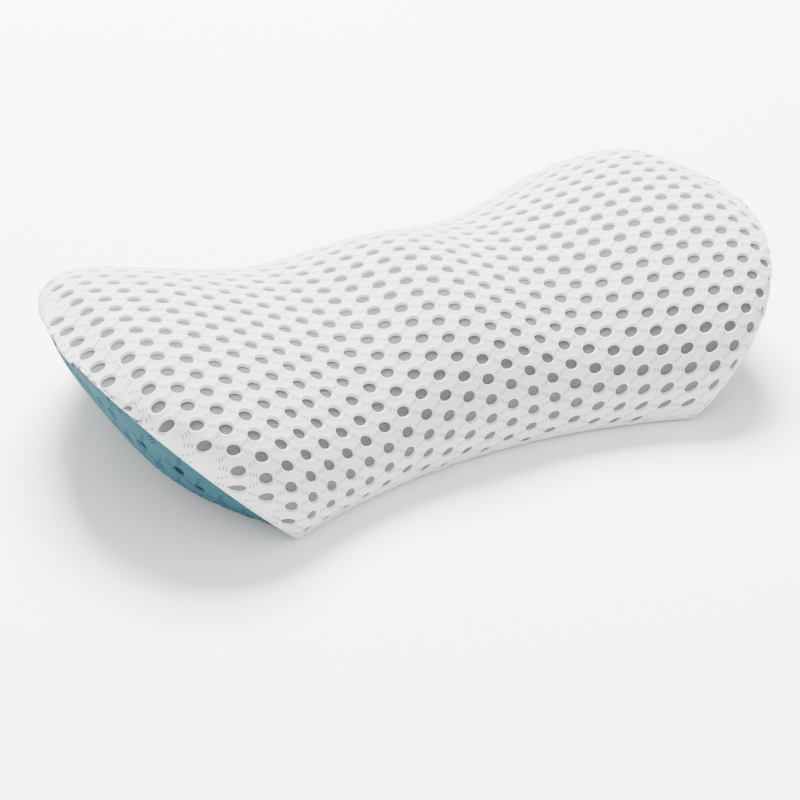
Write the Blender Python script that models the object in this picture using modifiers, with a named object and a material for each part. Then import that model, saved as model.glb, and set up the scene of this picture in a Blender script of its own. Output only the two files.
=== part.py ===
"""Lumbar support cushion: a foam core in a liner, inside a zipped spacer-mesh cover.

Units are metres, +Z is up and the cushion lies on its flat back panel. X runs along its length.
The zip is in the +Y side wall. Every surface comes from the same outline and section functions,
moved inward by the layer that it belongs to.
"""
import math
from collections import namedtuple

import bmesh
import bpy
from mathutils import Vector

MM = 0.001

# Driving dimensions of the cushion
LENGTH = 400 * MM            # tip to tip
FOLD_X = 120 * MM            # middle to the line where an end panel leaves the flat back
END_SLOPE = math.radians(42)   # end panel against the flat back
WAIST_HALF = 70 * MM         # half width of the back panel in the middle
CORNER_HALF = 89 * MM        # half width of the back panel at the fold lines
SIDE_BULGE = 6 * MM        # how far the side walls swell past the back panel's edge
WIDEST_SHARE = 0.28          # height of the widest line, as a share of the section's height
WAIST_HEIGHT = 53 * MM       # crown height of the waist without the middle hump
WING_HEIGHT = 81 * MM        # crown height of the wings
WING_X = 172 * MM            # where the crown reaches the wing height
HUMP_HEIGHT = 19 * MM        # what the middle hump adds
HUMP_REACH = 49 * MM         # half length of the hump
SHOULDER_MIDDLE = 2.2        # superellipse power of the section in the middle
SHOULDER_WING = 2.05         # and at the wings
SHOULDER_BLEND_X = 110 * MM  # where the wing section is reached

# Layers and clearances
MESH_THICKNESS = 3.0 * MM    # spacer-mesh fabric
LINER_THICKNESS = 0.8 * MM   # knitted inner bag
LINER_INSET = 5.0 * MM       # outer face of the cover to the liner, over the crown
FOAM_INSET = 7.6 * MM        # outer face of the cover to the foam, over the crown
SEAT_GAP = 0.3 * MM          # between layers that rest on each other
THREAD_DIAMETER = 1.2 * MM   # bundle of seam threads
FOLD_THREAD_DIAMETER = 1.0 * MM

# Zip
ZIP_FROM_X = -90 * MM        # end where the slider is parked
ZIP_TO_X = 66 * MM
ZIP_MIDDLE_Z = 6 * MM        # height of the closing line between the two coils
TAPE_REACH = 6.0 * MM        # closing line to the tape's far edge
TAPE_THICKNESS = 0.8 * MM
TAPE_INSET = 2.2 * MM        # wall face to tape face
COIL_DIAMETER = 1.2 * MM
COIL_SPACING = 1.5 * MM      # centre to centre of the two coils
STOP_LENGTH = 2.4 * MM
SLIDER_LENGTH = 9 * MM
SLIDER_WIDTH = 7 * MM
SLIDER_PLATE = 1.3 * MM
SLIDER_FLANGE = 1.0 * MM
SLIDER_GAP = 0.3 * MM        # slider to coil and tape
PIN_DIAMETER = 1.2 * MM
PIN_HEIGHT = 1.8 * MM        # pin axis above the slider's plate
LUG_THICKNESS = 1.0 * MM
TAB_LENGTH = 24 * MM
TAB_WIDTH = 6 * MM
TAB_THICKNESS = 1.2 * MM
PIVOT_GAP = 0.3 * MM         # pin to bore and barrel to lug

# Mesh resolution
COLUMNS = 30                 # along the length
ROWS = 20                    # across the section
END_ROWS = 20                # along an end panel's rim
WALL_SHARE = 0.2             # share of the rows below the widest line
LAST_COLUMN = 0.9985         # last column's place, as a share of the tip's
END_COLUMNS = 4              # from its fold line to its rim

# Derived sizes
HALF = LENGTH / 2
WAIST_RADIUS = FOLD_X ** 2 / (2 * (CORNER_HALF - WAIST_HALF)) + (CORNER_HALF - WAIST_HALF) / 2
ARC_CENTRE_Y = WAIST_HALF + WAIST_RADIUS
THREAD_INSET = MESH_THICKNESS + SEAT_GAP + THREAD_DIAMETER / 2
PANEL_INSET = MESH_THICKNESS + 2 * SEAT_GAP + THREAD_DIAMETER
RIM_CREASE = math.radians(40)   # crease angle that the clearances along the rim are worked out for
RIM_ANGLE_ALLOWANCE = MESH_THICKNESS * (1 / math.sin(RIM_CREASE) - 1)
FOLD_GAP = MESH_THICKNESS * math.tan(END_SLOPE / 2) + SEAT_GAP
END_REACH = (HALF - FOLD_X) / math.cos(END_SLOPE)
COIL_INSET = TAPE_INSET - SEAT_GAP - COIL_DIAMETER / 2
CHAIN_HALF = (COIL_SPACING + COIL_DIAMETER) / 2
SLOT_TOP = TAPE_REACH + SEAT_GAP
SLIDER_ANGLE = math.asin((ZIP_FROM_X + STOP_LENGTH + SLIDER_GAP + SLIDER_LENGTH / 2) / WAIST_RADIUS)

Layer = namedtuple("Layer", "inset floor")
COVER = Layer(0.0, 0.0)
LINER = Layer(LINER_INSET, MESH_THICKNESS + SEAT_GAP)
CORE = Layer(FOAM_INSET, MESH_THICKNESS + LINER_THICKNESS + 2 * SEAT_GAP)

BODY_COLLECTION = "lumbar_support_cushion"
CUTTER_COLLECTION = "cutters"


def clear_scene():
    for obj in list(bpy.data.objects):
        bpy.data.objects.remove(obj, do_unlink=True)


def new_collection(name):
    collection = bpy.data.collections.new(name)
    bpy.context.scene.collection.children.link(collection)
    return collection


def material(name, colour, roughness, metallic=0.0):
    mat = bpy.data.materials.new(name)
    mat.use_nodes = True
    shader = mat.node_tree.nodes["Principled BSDF"]
    shader.inputs["Base Color"].default_value = (*colour, 1.0)
    shader.inputs["Roughness"].default_value = roughness
    shader.inputs["Metallic"].default_value = metallic
    return mat


def smoothstep(t):
    t = min(max(t, 0.0), 1.0)
    return t * t * (3 - 2 * t)


def fold_x(layer):
    """Where a layer's flat base meets its sloping end."""
    return FOLD_X + (layer.floor - layer.inset / math.cos(END_SLOPE)) / math.tan(END_SLOPE)


def tip_x(layer):
    return HALF - layer.inset / math.tan(END_SLOPE / 2)


def end_share(x, layer):
    """How far x lies between a layer's fold line (0) and its tip (1)."""
    fold = fold_x(layer)
    return min(max((abs(x) - fold) / (tip_x(layer) - fold), 0.0), 1.0)


def waist_half_width(x):
    """Half width of the hollow-sided waist, an arc from fold line to fold line."""
    reach = min(abs(x), FOLD_X)
    return WAIST_HALF + WAIST_RADIUS - math.sqrt(WAIST_RADIUS ** 2 - reach ** 2)


def edge_half_width(x, layer=COVER):
    """Half width of the lower outline: the waist, then a half ellipse round each end."""
    return (waist_half_width(x) - layer.inset) * math.sqrt(1 - end_share(x, layer) ** 2)


def swell(x, layer):
    return SIDE_BULGE * math.sqrt(1 - end_share(x, layer) ** 2)


def edge_height(x, layer):
    """Height of the lower outline: flat on the back panel, then up the sloping end panel."""
    slope_line = (abs(x) - FOLD_X) * math.tan(END_SLOPE) + layer.inset / math.cos(END_SLOPE)
    return max(slope_line, layer.floor)


def crown_height(x, layer=COVER):
    """Height of the crown: a hump in the middle, hollows beside it and raised wings."""
    rise = smoothstep(abs(x) / WING_X)
    hump = HUMP_HEIGHT * math.exp(-(x / HUMP_REACH) ** 2)
    wing_drop = WING_HEIGHT - (HALF - FOLD_X) * math.tan(END_SLOPE)
    drop = wing_drop * smoothstep((abs(x) - WING_X) / (HALF - WING_X))
    return WAIST_HEIGHT + (WING_HEIGHT - WAIST_HEIGHT) * rise + hump - drop - layer.inset


def section_point(x, v, layer):
    """Point of the front surface: v runs from 0 at the -Y edge over the crown to 1 at the +Y edge."""
    side = -1 if v < 0.5 else 1
    share = 1 - abs(2 * v - 1)
    low, high = edge_height(x, layer), crown_height(x, layer)
    widest = low + WIDEST_SHARE * (high - low)
    edge, bulge = edge_half_width(x, layer), swell(x, layer)
    if share < WALL_SHARE:
        climb = share / WALL_SHARE
        return Vector((x, side * (edge + bulge * (1 - (1 - climb) ** 2)), low + (widest - low) * climb))
    turn = (share - WALL_SHARE) / (1 - WALL_SHARE) * math.pi / 2
    blend = smoothstep(abs(x) / SHOULDER_BLEND_X)
    power = 2 / (SHOULDER_MIDDLE + (SHOULDER_WING - SHOULDER_MIDDLE) * blend)
    y = (edge + bulge) * abs(math.cos(turn)) ** power
    return Vector((x, side * y, widest + (high - widest) * math.sin(turn) ** power))


def column_positions(layer):
    """Columns crowd towards the tips, where the outline turns fastest."""
    reach = tip_x(layer) * LAST_COLUMN
    last_turn = 0.97 * math.pi / 2
    turns = [(2 * i / COLUMNS - 1) * last_turn for i in range(COLUMNS + 1)]
    return [reach * math.sin(turn) / math.sin(last_turn) for turn in turns]


def grid_mesh(name, points):
    """Open quad surface over a rectangular grid of points."""
    bm = bmesh.new()
    verts = [[bm.verts.new(p) for p in row] for row in points]
    for a, b in zip(verts, verts[1:]):
        for i in range(len(a) - 1):
            bm.faces.new((a[i], b[i], b[i + 1], a[i + 1]))
    mesh = bpy.data.meshes.new(name)
    bm.to_mesh(mesh)
    bm.free()
    return mesh


def add_object(name, mesh, mat, collection, smooth=True):
    mesh.materials.append(mat)
    obj = bpy.data.objects.new(name, mesh)
    collection.objects.link(obj)
    if smooth:
        mesh.shade_smooth()
        mesh.set_sharp_from_angle(angle=math.radians(40))
    return obj


def solidify(obj, thickness):
    """Thickens an open surface away from the side that its faces look to."""
    shell = obj.modifiers.new("Fabric thickness", "SOLIDIFY")
    shell.thickness = thickness
    shell.offset = -1
    shell.use_even_offset = True
    shell.use_rim = True


def front_grid(layer):
    return [[section_point(x, row / ROWS, layer) for row in range(ROWS + 1)]
            for x in column_positions(layer)]


def back_grid():
    """Flat grid inside the back panel's outline, ending short of both fold lines."""
    reach = FOLD_X - FOLD_GAP
    count = COLUMNS // 2
    rows = []
    for i in range(count + 1):
        x = reach * (2 * i / count - 1)
        half = waist_half_width(x) - PANEL_INSET
        rows.append([Vector((x, half * share, 0)) for share in (1, 0.5, 0, -0.5, -1)])
    return rows


def rim_offset(across, inset):
    """Point on the end panel's plane: distance up the slope and Y, moved in from the rim."""
    normal = Vector((CORNER_HALF * math.sin(across), -END_REACH * math.cos(across))).normalized()
    return (END_REACH * math.sin(across) - inset * normal.x,
            -CORNER_HALF * math.cos(across) - inset * normal.y)


def on_slope(side, up, y, depth=0.0):
    """Point on the left (-1) or right (1) end panel's plane, moved into the cushion by depth."""
    x = FOLD_X + up * math.cos(END_SLOPE) - depth * math.sin(END_SLOPE)
    return Vector((side * x, y, up * math.sin(END_SLOPE) + depth * math.cos(END_SLOPE)))


def rim_sweep(steps):
    """Angles along the half-moon rim, from just past one corner to just short of the other."""
    start = math.radians(6)
    return [start + (math.pi - 2 * start) * i / steps for i in range(steps + 1)]


def end_grid(side):
    rows = []
    for across in rim_sweep(END_ROWS):
        top, y = rim_offset(across, PANEL_INSET + RIM_ANGLE_ALLOWANCE)
        ups = [FOLD_GAP + (top - FOLD_GAP) * i / END_COLUMNS for i in range(END_COLUMNS + 1)]
        row = [on_slope(side, up, y) for up in ups]
        rows.append(row if side > 0 else row[::-1])
    return rows


def base_grid(layer, margin):
    """Lower side of a layer: flat in the middle and sloping at both ends, inside its edge."""
    rows = []
    for x in column_positions(layer)[2:-2]:
        half = edge_half_width(x, layer) - margin
        height = edge_height(x, layer)
        rows.append([Vector((x, half * share, height)) for share in (1, 0.5, 0, -0.5, -1)])
    return rows


def cut(obj, cutter):
    cutter.hide_render = True
    cutter.display_type = "WIRE"
    boolean = obj.modifiers.new("Cut " + cutter.name, "BOOLEAN")
    boolean.operation = "DIFFERENCE"
    boolean.object = cutter


def wall_swell(z):
    """How far the +Y wall stands out past the back panel's edge at a height, and its lean."""
    widest = WIDEST_SHARE * crown_height(0)
    climb = min(z / widest, 1.0)
    lean = math.atan(2 * SIDE_BULGE / widest * (1 - climb))
    return SIDE_BULGE * (1 - (1 - climb) ** 2), lean


def zip_point(angle, up, out):
    """Point near the zip: up the leaning wall from the closing line, and out of the wall."""
    standing, lean = wall_swell(ZIP_MIDDLE_Z)
    radius = WAIST_RADIUS - standing - out * math.cos(lean) - up * math.sin(lean)
    return Vector((radius * math.sin(angle), ARC_CENTRE_Y - radius * math.cos(angle),
                   ZIP_MIDDLE_Z + up * math.cos(lean) - out * math.sin(lean)))


def zip_angles(steps, gap=0.0):
    """Angles about the wall's arc centre, from the zip's closed end to its open end."""
    first = math.asin((ZIP_FROM_X + gap) / WAIST_RADIUS)
    last = math.asin((ZIP_TO_X - gap) / WAIST_RADIUS)
    return [first + (last - first) * i / steps for i in range(steps + 1)]


def zip_slot_cutter(collection):
    """Block along the zip, curved with the wall, that opens the front panel's lower edge."""
    rows = [[zip_point(angle, up, 8 * MM) for up in (SLOT_TOP, -30 * MM)] for angle in zip_angles(12)]
    obj = bpy.data.objects.new("zip_slot", grid_mesh("zip_slot", rows))
    collection.objects.link(obj)
    solidify(obj, 20 * MM)
    return obj


def make_cover(parts, cutters, front_cloth, back_cloth):
    front = add_object("front_panel", grid_mesh("front_panel", front_grid(COVER)), front_cloth, parts)
    solidify(front, MESH_THICKNESS)
    cut(front, zip_slot_cutter(cutters))
    back = add_object("back_panel", grid_mesh("back_panel", back_grid()), back_cloth, parts)
    solidify(back, MESH_THICKNESS)
    for name, side in (("end_panel_left", -1), ("end_panel_right", 1)):
        panel = add_object(name, grid_mesh(name, end_grid(side)), back_cloth, parts)
        solidify(panel, MESH_THICKNESS)


def tube(name, points, diameter, mat, collection):
    """Round cord along points, with closed ends."""
    curve = bpy.data.curves.new(name, "CURVE")
    curve.dimensions = "3D"
    curve.bevel_depth = diameter / 2
    curve.bevel_resolution = 1
    curve.use_fill_caps = True
    spline = curve.splines.new("POLY")
    spline.points.add(len(points) - 1)
    for target, p in zip(spline.points, points):
        target.co = (*p, 1.0)
    curve.materials.append(mat)
    obj = bpy.data.objects.new(name, curve)
    collection.objects.link(obj)
    return obj


def make_threads(parts, white_thread, teal_thread):
    radius = THREAD_DIAMETER / 2
    height = radius + SEAT_GAP
    for name, side in (("rim_seam_left", -1), ("rim_seam_right", 1)):
        rim = [rim_offset(across, THREAD_INSET + RIM_ANGLE_ALLOWANCE) for across in rim_sweep(28)]
        tube(name, [on_slope(side, up, y, radius) for up, y in rim], THREAD_DIAMETER, teal_thread, parts)
    fold_reach = CORNER_HALF - PANEL_INSET
    fold_x_line = FOLD_X - FOLD_GAP + SEAT_GAP + FOLD_THREAD_DIAMETER / 2
    for name, side in (("fold_seam_left", -1), ("fold_seam_right", 1)):
        points = [Vector((side * fold_x_line, fold_reach * t / 4, height)) for t in range(-4, 5)]
        tube(name, points, FOLD_THREAD_DIAMETER, white_thread, parts)
    seam_reach = FOLD_X - FOLD_GAP - THREAD_DIAMETER
    xs = [seam_reach * (i / 12 - 1) for i in range(25)]
    for name, side in (("side_seam_near", -1), ("side_seam_zip", 1)):
        points = [Vector((x, side * (waist_half_width(x) - THREAD_INSET), height)) for x in xs]
        tube(name, points, THREAD_DIAMETER, teal_thread, parts)


def make_liner_and_core(parts, liner_cloth, foam):
    top = add_object("liner_front", grid_mesh("liner_front", front_grid(LINER)), liner_cloth, parts)
    solidify(top, LINER_THICKNESS)
    margin = LINER_THICKNESS + 3 * SEAT_GAP
    base = add_object("liner_back", grid_mesh("liner_back", base_grid(LINER, margin)), liner_cloth, parts)
    solidify(base, LINER_THICKNESS)
    add_object("foam_core", core_mesh(), foam, parts)


def core_mesh():
    """Moulded foam: the front surface moved in, closed by a flat base and two sloping ends."""
    bm = bmesh.new()
    columns = [[bm.verts.new(p) for p in row] for row in front_grid(CORE)]
    for a, b in zip(columns, columns[1:]):
        for i in range(ROWS):
            bm.faces.new((a[i], b[i], b[i + 1], a[i + 1]))
        bm.faces.new((a[0], a[ROWS], b[ROWS], b[0]))
    bm.faces.new(columns[0])
    bm.faces.new(columns[-1][::-1])
    bmesh.ops.triangulate(bm, faces=[f for f in bm.faces if len(f.verts) > 4])
    mesh = bpy.data.meshes.new("foam_core")
    bm.to_mesh(mesh)
    bm.free()
    return mesh


def make_tape(name, low, high, mat, parts):
    rows = [[zip_point(angle, up, -TAPE_INSET) for up in (high, low)]
            for angle in zip_angles(16, SEAT_GAP)]
    tape = add_object(name, grid_mesh(name, rows), mat, parts)
    solidify(tape, TAPE_THICKNESS)


def make_zip(parts, tape_cloth, coil_plastic, metal):
    make_tape("zip_tape_lower", -TAPE_REACH, -SEAT_GAP / 2, tape_cloth, parts)
    make_tape("zip_tape_upper", SEAT_GAP / 2, TAPE_REACH, tape_cloth, parts)
    sweep = zip_angles(20, STOP_LENGTH + 2 * SEAT_GAP)
    for name, sign in (("zip_coil_lower", -1), ("zip_coil_upper", 1)):
        points = [zip_point(angle, sign * COIL_SPACING / 2, -COIL_INSET) for angle in sweep]
        tube(name, points, COIL_DIAMETER, coil_plastic, parts)
    ends = zip_angles(1, STOP_LENGTH / 2 + SEAT_GAP)
    make_stop("zip_stop_closed", ends[0], metal, parts)
    make_stop("zip_stop_open", ends[1], metal, parts)


def place_on_wall(obj, angle, out):
    """Puts an object on the +Y wall: its X along the zip, its Y out of the leaning wall."""
    obj.location = zip_point(angle, 0, out)
    obj.rotation_euler = (-wall_swell(ZIP_MIDDLE_Z)[1], 0, angle)


def box_object(name, low, high, mat, collection):
    bm = bmesh.new()
    bmesh.ops.create_cube(bm, size=1.0)
    low, high = Vector(low), Vector(high)
    for v in bm.verts:
        v.co = Vector(((low[k] + high[k]) / 2 + v.co[k] * (high[k] - low[k]) for k in range(3)))
    mesh = bpy.data.meshes.new(name)
    bm.to_mesh(mesh)
    bm.free()
    return add_object(name, mesh, mat, collection, smooth=False)


def bevel(obj, width, segments=2):
    edge = obj.modifiers.new("Rounded edges", "BEVEL")
    edge.width = width
    edge.segments = segments
    edge.limit_method = "ANGLE"
    edge.angle_limit = math.radians(50)


def make_stop(name, angle, mat, parts):
    """Small metal clip over both coils at an end of the zip."""
    half = COIL_DIAMETER / 2
    size = Vector((STOP_LENGTH / 2, half, CHAIN_HALF))
    stop = box_object(name, -size, size, mat, parts)
    bevel(stop, 0.25 * MM)
    place_on_wall(stop, angle, -COIL_INSET)


def join_shapes(obj, others):
    """Joins helper shapes to obj with Boolean unions and keeps them as hidden guides."""
    for other in others:
        other.hide_render = True
        other.display_type = "WIRE"
        boolean = obj.modifiers.new("Join " + other.name, "BOOLEAN")
        boolean.operation = "UNION"
        boolean.object = other


def cylinder_object(name, radius, low, high, centre_y, mat, collection):
    """Upright cylinder with its axis parallel to Z."""
    bm = bmesh.new()
    bmesh.ops.create_cone(bm, cap_ends=True, segments=20, radius1=radius, radius2=radius,
                          depth=high - low)
    for v in bm.verts:
        v.co += Vector((0, centre_y, (low + high) / 2))
    mesh = bpy.data.meshes.new(name)
    bm.to_mesh(mesh)
    bm.free()
    return add_object(name, mesh, mat, collection)


def make_slider(parts, cutters, metal):
    """Slider: a plate over the coils, a flange past each side and a pin for the pull tab."""
    coil_face = COIL_DIAMETER / 2
    plate_low = coil_face + SLIDER_GAP
    plate_high = plate_low + SLIDER_PLATE
    length, width = SLIDER_LENGTH / 2, SLIDER_WIDTH / 2
    flange_low = -COIL_DIAMETER / 2
    slider = box_object("zip_slider", (-length, plate_low, -width), (length, plate_high, width),
                        metal, parts)
    helpers = []
    for sign in (-1, 1):
        inner = CHAIN_HALF + SLIDER_GAP
        span = sorted((sign * inner, sign * (inner + SLIDER_FLANGE)))
        helpers.append(box_object("slider_flange_%d" % sign, (-length * 0.8, flange_low, span[0]),
                                  (length * 0.8, plate_high - 0.3 * MM, span[1]), metal, cutters))
        span = sorted((sign * (width - LUG_THICKNESS), sign * width))
        helpers.append(box_object("slider_lug_%d" % sign, (-1.3 * MM, plate_high - 0.3 * MM, span[0]),
                                  (1.3 * MM, plate_high + PIN_HEIGHT + 1.0 * MM, span[1]), metal, cutters))
    helpers.append(cylinder_object("slider_pin", PIN_DIAMETER / 2, -width + LUG_THICKNESS / 2,
                                   width - LUG_THICKNESS / 2, plate_high + PIN_HEIGHT, metal, cutters))
    join_shapes(slider, helpers)
    for obj in (slider, *helpers):
        place_on_wall(obj, SLIDER_ANGLE, -COIL_INSET)
    return plate_high + PIN_HEIGHT


def make_pull_tab(parts, cutters, metal, pin_out):
    """Pull tab: a plate with a barrel that turns on the slider's pin. Its origin is on the pin."""
    barrel_half = SLIDER_WIDTH / 2 - LUG_THICKNESS - PIVOT_GAP
    bore = PIN_DIAMETER / 2 + PIVOT_GAP
    barrel_radius = bore + 0.6 * MM
    tab = cylinder_object("zip_pull_tab", barrel_radius, -barrel_half, barrel_half, 0.0, metal, parts)
    neck = box_object("tab_neck", (bore + 0.3 * MM, -TAB_THICKNESS / 2, -barrel_half * 0.9),
                      (7 * MM, TAB_THICKNESS / 2, barrel_half * 0.9), metal, cutters)
    blade = box_object("tab_blade", (6.5 * MM, -TAB_THICKNESS / 2, -TAB_WIDTH / 2),
                       (TAB_LENGTH, TAB_THICKNESS / 2, TAB_WIDTH / 2), metal, cutters)
    bevel(blade, 0.35 * MM)
    join_shapes(tab, [neck, blade])
    hole = cylinder_object("tab_bore", bore, -TAB_WIDTH, TAB_WIDTH, 0.0, metal, cutters)
    cut(tab, hole)
    for obj in (tab, neck, blade, hole):
        place_on_wall(obj, SLIDER_ANGLE, pin_out - COIL_INSET)


def main():
    clear_scene()
    parts = new_collection(BODY_COLLECTION)
    cutters = new_collection(CUTTER_COLLECTION)
    front_cloth = material("White spacer mesh", (0.86, 0.87, 0.88), 0.85)
    back_cloth = material("Teal spacer mesh", (0.09, 0.30, 0.36), 0.85)
    liner_cloth = material("Liner knit", (0.78, 0.78, 0.77), 0.9)
    foam = material("Slow-rebound foam", (0.85, 0.80, 0.66), 0.95)
    white_thread = material("White thread", (0.85, 0.86, 0.86), 0.7)
    teal_thread = material("Teal thread", (0.06, 0.22, 0.28), 0.7)
    coil_plastic = material("Coil plastic", (0.80, 0.82, 0.83), 0.45)
    metal = material("Zip metal", (0.70, 0.71, 0.72), 0.35, 1.0)
    make_cover(parts, cutters, front_cloth, back_cloth)
    make_liner_and_core(parts, liner_cloth, foam)
    make_threads(parts, white_thread, teal_thread)
    make_zip(parts, front_cloth, coil_plastic, metal)
    pin_out = make_slider(parts, cutters, metal)
    make_pull_tab(parts, cutters, metal, pin_out)


main()
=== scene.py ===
"""Visual model of a lumbar support cushion: spacer-mesh cover, seams, zip, liner and foam core.

Units are metres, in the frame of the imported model. Mesh cloth is made cell by cell: every oval hole
has a raised lip and walls, over a finer backing knit.
"""

import math

import bpy
import numpy as np
from bpy.props import FloatProperty, FloatVectorProperty, PointerProperty
from mathutils import Matrix, Vector


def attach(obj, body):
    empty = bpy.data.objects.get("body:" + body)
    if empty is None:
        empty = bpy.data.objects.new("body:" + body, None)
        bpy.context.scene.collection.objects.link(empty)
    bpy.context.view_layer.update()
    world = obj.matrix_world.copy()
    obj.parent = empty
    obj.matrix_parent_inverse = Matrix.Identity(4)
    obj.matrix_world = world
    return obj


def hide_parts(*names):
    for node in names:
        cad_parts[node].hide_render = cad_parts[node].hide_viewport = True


bl_info = {
    "name": "Lumbar support cushion",
    "version": (1, 0, 0),
    "blender": (4, 5, 0),
    "location": "View3D > Sidebar > Cushion",
    "description": "Builds a mesh-covered lumbar support cushion around its packed frame",
    "category": "Object",
}

MM = 0.001
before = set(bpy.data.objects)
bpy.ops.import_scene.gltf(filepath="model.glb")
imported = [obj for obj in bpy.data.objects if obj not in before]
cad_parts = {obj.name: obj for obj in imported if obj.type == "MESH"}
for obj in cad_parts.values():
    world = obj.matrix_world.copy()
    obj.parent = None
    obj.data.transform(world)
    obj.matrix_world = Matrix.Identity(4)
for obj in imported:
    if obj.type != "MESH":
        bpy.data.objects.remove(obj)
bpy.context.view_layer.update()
ROOT_BODY = "cushion"


# ---------------------------------------------------------------- settings

class CushionShape(bpy.types.PropertyGroup):
    """Form of the cushion."""
    fold_x: FloatProperty(name="Fold line", description="Middle to the line where an end panel starts",
                          default=120 * MM, unit="LENGTH")
    end_slope: FloatProperty(name="End slope", description="End panel against the flat back",
                             default=math.radians(42), subtype="ANGLE")
    waist_half: FloatProperty(name="Half waist", description="Half width in the middle",
                              default=70 * MM, unit="LENGTH")
    corner_half: FloatProperty(name="Half corner width", description="Half width at the fold lines",
                               default=89 * MM, unit="LENGTH")
    side_bulge: FloatProperty(name="Side bulge", description="How far the sides swell out",
                              default=6 * MM, unit="LENGTH")
    waist_height: FloatProperty(name="Waist height", description="Crown height of the hollows",
                                default=53 * MM, unit="LENGTH")
    wing_height: FloatProperty(name="Wing height", description="Crown height of the wings",
                               default=81 * MM, unit="LENGTH")
    hump_height: FloatProperty(name="Hump height", description="What the middle hump adds",
                               default=19 * MM, unit="LENGTH")
    end_bulge: FloatProperty(name="End bulge", description="How far the stuffed end panels stand out",
                             default=17 * MM, unit="LENGTH")
    unevenness: FloatProperty(name="Unevenness", description="Slow waves of the stuffed cloth",
                              default=0.7 * MM, unit="LENGTH")


class CushionMesh(bpy.types.PropertyGroup):
    """Pattern of the spacer mesh."""
    column_pitch: FloatProperty(name="Column pitch", description="Hole columns, along the length",
                                default=12.6 * MM, unit="LENGTH")
    row_pitch: FloatProperty(name="Row pitch", description="Holes within a column",
                             default=10.4 * MM, unit="LENGTH")
    hole_length: FloatProperty(name="Hole length", description="Oval hole along the length",
                               default=8.2 * MM, unit="LENGTH")
    hole_width: FloatProperty(name="Hole width", description="Oval hole across",
                              default=6.2 * MM, unit="LENGTH")
    lip: FloatProperty(name="Lip", description="How far the edge of a hole stands up",
                       default=0.35 * MM, unit="LENGTH")
    backing: FloatProperty(name="Backing depth", description="Face of the cloth to its backing knit",
                           default=1.25 * MM, unit="LENGTH")
    phase_along: FloatProperty(name="Pattern shift along", description="Moves the holes along the length",
                               default=-2.4 * MM, unit="LENGTH")
    phase_across: FloatProperty(name="Pattern shift across", description="Moves the holes across",
                                default=-1.9 * MM, unit="LENGTH")


class CushionColours(bpy.types.PropertyGroup):
    """Colours of the cloth, thread and zip."""
    white: FloatVectorProperty(name="White cloth", description="Face of the front panel",
                               default=(0.66, 0.665, 0.675), size=3, subtype="COLOR", min=0, max=1)
    # Partly the grey backing knit's own colour, partly painted shade: darkened so the holes look shaded.
    front_backing_and_painted_shade: FloatVectorProperty(name="Front backing and painted shade", description="Knit seen through its holes",
                                       default=(0.125, 0.13, 0.14), size=3, subtype="COLOR", min=0, max=1)
    teal: FloatVectorProperty(name="Teal cloth", description="Face of the back and end panels",
                              default=(0.026, 0.078, 0.099), size=3, subtype="COLOR", min=0, max=1)
    # Partly the teal backing knit's own colour, partly painted shade: near black so the holes look shaded.
    teal_backing_and_painted_shade: FloatVectorProperty(name="Teal backing", description="Knit seen through its holes",
                                      default=(0.004, 0.015, 0.025), size=3, subtype="COLOR", min=0, max=1)
    foam: FloatVectorProperty(name="Foam", description="Core inside the cover",
                              default=(0.85, 0.80, 0.66), size=3, subtype="COLOR", min=0, max=1)
    metal: FloatVectorProperty(name="Zip metal", description="Slider, tab and stops",
                               default=(0.70, 0.71, 0.72), size=3, subtype="COLOR", min=0, max=1)


class CushionStage(bpy.types.PropertyGroup):
    """Camera and light."""
    azimuth: FloatProperty(name="Camera turn", description="Turn of the view about the vertical",
                           default=math.radians(37.48), subtype="ANGLE")
    elevation: FloatProperty(name="Camera height angle", description="View above the horizon",
                             default=math.radians(34.77), subtype="ANGLE")
    roll: FloatProperty(name="Camera roll", description="Lean of the view",
                        default=math.radians(8.10), subtype="ANGLE")
    distance: FloatProperty(name="Camera distance", description="Camera to its target",
                            default=1200 * MM, unit="LENGTH")
    lens: FloatProperty(name="Lens", description="Focal length in millimetres", default=110.1)
    target: FloatVectorProperty(name="Target", description="Point in the middle of the view",
                                default=(-37.7 * MM, -45.3 * MM, 29.4 * MM), size=3, subtype="TRANSLATION")
    key_power: FloatProperty(name="Key light", description="Power of the main soft light",
                             default=230.0, unit="POWER")
    fill_power: FloatProperty(name="Fill light", description="Power of the far soft light",
                              default=6.0, unit="POWER")
    sky: FloatProperty(name="Surround", description="Strength of the white surround", default=1.75)


# ---------------------------------------------------------------- form

WING_X = 172 * MM
HUMP_REACH = 49 * MM
SHOULDER_MIDDLE, SHOULDER_WING, SHOULDER_BLEND_X = 2.2, 2.05, 110 * MM
WIDEST_SHARE, WALL_SHARE = 0.28, 0.2
HALF = 200 * MM
CLOTH = 3.0 * MM
ZIP_FROM_X, ZIP_TO_X, ZIP_MIDDLE_Z = -90 * MM, 66 * MM, 6 * MM
SLOT_HEIGHT = 12.6 * MM

# Lofts stop just short of the tips, with their columns crowded towards them.
TIP_SHARE, TIP_TURN = 0.9985, 0.97 * math.pi / 2

# Cloth: how far each ring of a hole stands outside the oval, and how deep it lies.
RISE_GROW, RISE_HEIGHT = 1.1 * MM, 0.12 * MM
LIP_GROW = 0.35 * MM
THROAT_GROW, THROAT_DEPTH = -0.15 * MM, 0.3 * MM
FOOT_GROW = -0.5 * MM
GROW_ACROSS = 0.9
WALL_BAND = 3
HOLE_MARGIN = 1.6 * MM
MERGE_STEP = 0.002 * MM
EDGE_ROOM = 0.05 * MM
TUCK_DEPTH, TUCK_REACH = 1.0 * MM, 1.6 * MM
NARROW_CLOTH, THINNEST_EDGE = 30 * MM, 0.08
BACKING_GAP = 0.05 * MM
KNIT_UNIT = 10 * MM

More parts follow.
